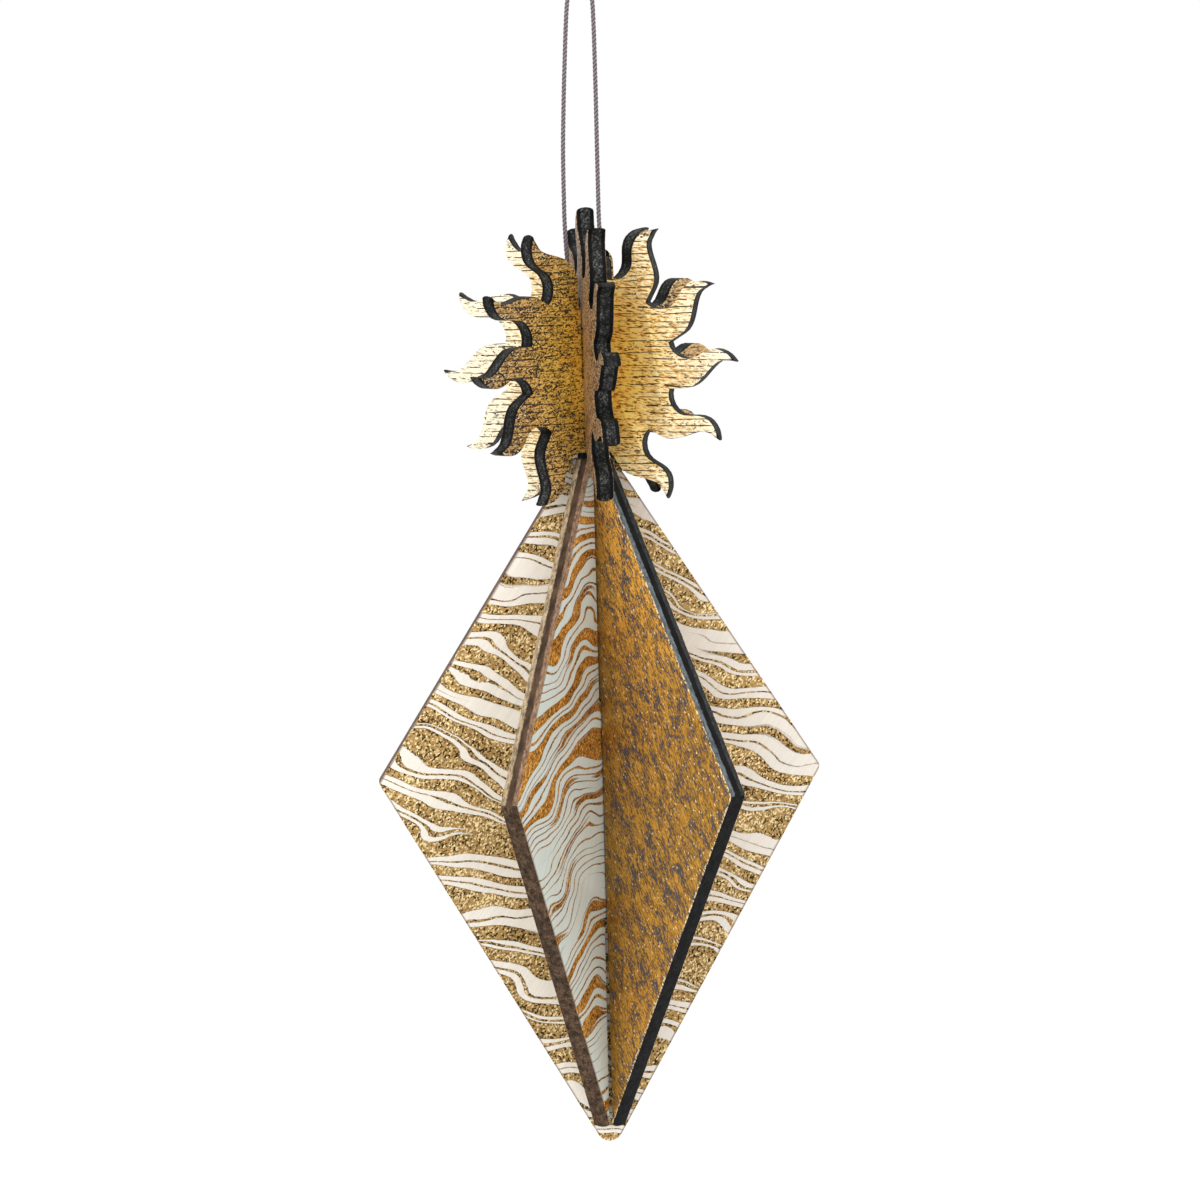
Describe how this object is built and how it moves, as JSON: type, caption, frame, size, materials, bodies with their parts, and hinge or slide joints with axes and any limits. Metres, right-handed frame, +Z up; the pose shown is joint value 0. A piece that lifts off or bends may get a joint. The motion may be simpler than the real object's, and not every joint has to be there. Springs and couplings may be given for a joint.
{
  "type": "wooden bauble",
  "caption": "Hanging bauble of thin plywood: crossed kite panels under a crown of crossed wavy-rayed sun discs, on a loop of thin twisted string.",
  "frame": {"origin": "middle of the knot at the top of the string loop, where the bauble is hung", "axes": "+Z up along the bauble's own upright axis; the picture looks along +Y from a little above, with +X to the right"},
  "size_m": [0.0754, 0.0706, 0.2071],
  "materials": {
    "cream_ply": "pale natural plywood face with gold foil stripes and a thin scorched edge",
    "grey_ply": "pale grey-green painted plywood face with copper-gold stripes and a brown scorched edge",
    "gold_ply": "gold-leafed plywood face with dark patina speckle and a black edge",
    "sun_ply": "gold foil over wood grain with fine dark cracks and a black edge",
    "string": "twisted grey-mauve string"
  },
  "bodies": {
    "knot": {"string_knot": "string"},
    "loop": {"left_string_strand": "string", "right_string_strand": "string"},
    "bauble": {"cream_kite_panel": "cream_ply", "grey_kite_panel": "grey_ply", "gold_kite_panel": "gold_ply", "middle_sun_disc": "sun_ply", "lower_sun_disc": "sun_ply", "top_sun_disc": "sun_ply", "string_bight": "string"}
  },
  "joints": [
    {"name": "bauble_swing", "type": "hinge", "parent": "knot", "child": "loop", "pos_m": [0, 0, 0], "axis": [0, 1, 0], "range_deg": [-60, 60]},
    {"name": "bauble_spin", "type": "hinge", "parent": "loop", "child": "bauble", "pos_m": [0, 0, -0.039], "axis": [0, 0, 1], "range_deg": [-180, 180]}
  ]
}
